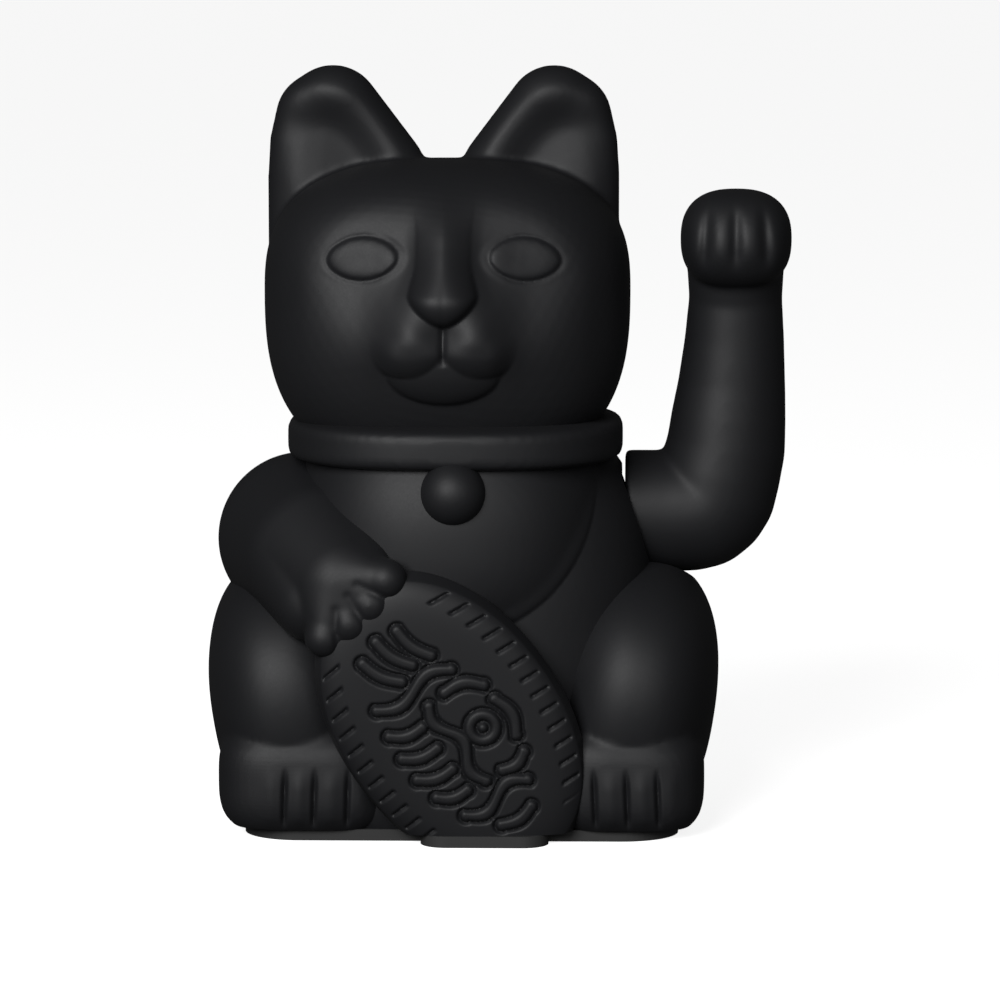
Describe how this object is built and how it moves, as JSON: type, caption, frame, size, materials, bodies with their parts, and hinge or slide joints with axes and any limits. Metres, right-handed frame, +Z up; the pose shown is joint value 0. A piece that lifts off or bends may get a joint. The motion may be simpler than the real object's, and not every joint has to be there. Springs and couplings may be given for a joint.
{
  "type": "beckoning cat figurine",
  "caption": "Seated cat figurine with a coin under its resting paw, a collar with a bell, and a raised arm that swings on a battery-driven pendulum.",
  "frame": {"origin": "middle of the base plate's resting face", "axes": "+Z up, +X towards the raised arm, +Y towards the figure's back"},
  "size_m": [0.1139, 0.0798, 0.1474],
  "materials": {
    "soft_black": "soft matte",
    "base_black": "fine texture",
    "natural_plastic": "satin",
    "dark_plastic": "satin",
    "steel": "zinc plated",
    "spring_steel": "phosphated",
    "nickel": "nickel plated",
    "bronze": "sintered",
    "iron_core": "machined",
    "copper_wire": "enamelled",
    "board_green": "solder resist",
    "capacitor_blue": "sleeve",
    "resistor_tan": "lacquer",
    "cell_wrap": "printed sleeve",
    "lead_red": "insulation",
    "lead_black": "insulation",
    "lead_copper_red": "insulation"
  },
  "bodies": {
    "body": {"front_shell": "soft_black", "rear_shell": "soft_black", "base_plate": "base_black", "base_screws": "steel", "bearing_bracket": "natural_plastic", "bracket_screws": "steel", "inner_bush": "bronze", "outer_bush": "bronze", "coil_bobbin": "natural_plastic", "coil_winding": "copper_wire", "coil_core": "iron_core", "circuit_board": "board_green", "board_screws": "steel", "transistor": "dark_plastic", "capacitor": "capacitor_blue", "resistors": "resistor_tan", "coil_leads": "lead_copper_red", "battery_cell": "cell_wrap", "positive_contact": "nickel", "negative_spring": "nickel", "battery_leads": "lead_red", "switch_housing": "dark_plastic", "switch_leads": "lead_black"},
    "waving_arm": {"axle": "steel", "axle_clips": "spring_steel", "pendulum_lever": "natural_plastic", "counterweight": "iron_core", "drive_magnet": "nickel", "arm_hub": "natural_plastic", "hub_screw": "steel", "arm_front_half": "soft_black", "arm_rear_half": "soft_black"},
    "switch": {"switch_slider": "natural_plastic"},
    "cover": {"battery_cover": "base_black"}
  },
  "joints": [
    {"name": "arm_swing", "type": "hinge", "parent": "body", "child": "waving_arm", "pos_m": [0, 0.004, 0.0598], "axis": [1, 0, 0], "range_deg": [-25, 25]},
    {"name": "switch_slide", "type": "slide", "parent": "body", "child": "switch", "axis": [1, 0, 0], "range_m": [0, 0.003]},
    {"name": "cover_release", "type": "slide", "parent": "body", "child": "cover", "axis": [0, 0, -1], "range_m": [0, 0.02]}
  ]
}
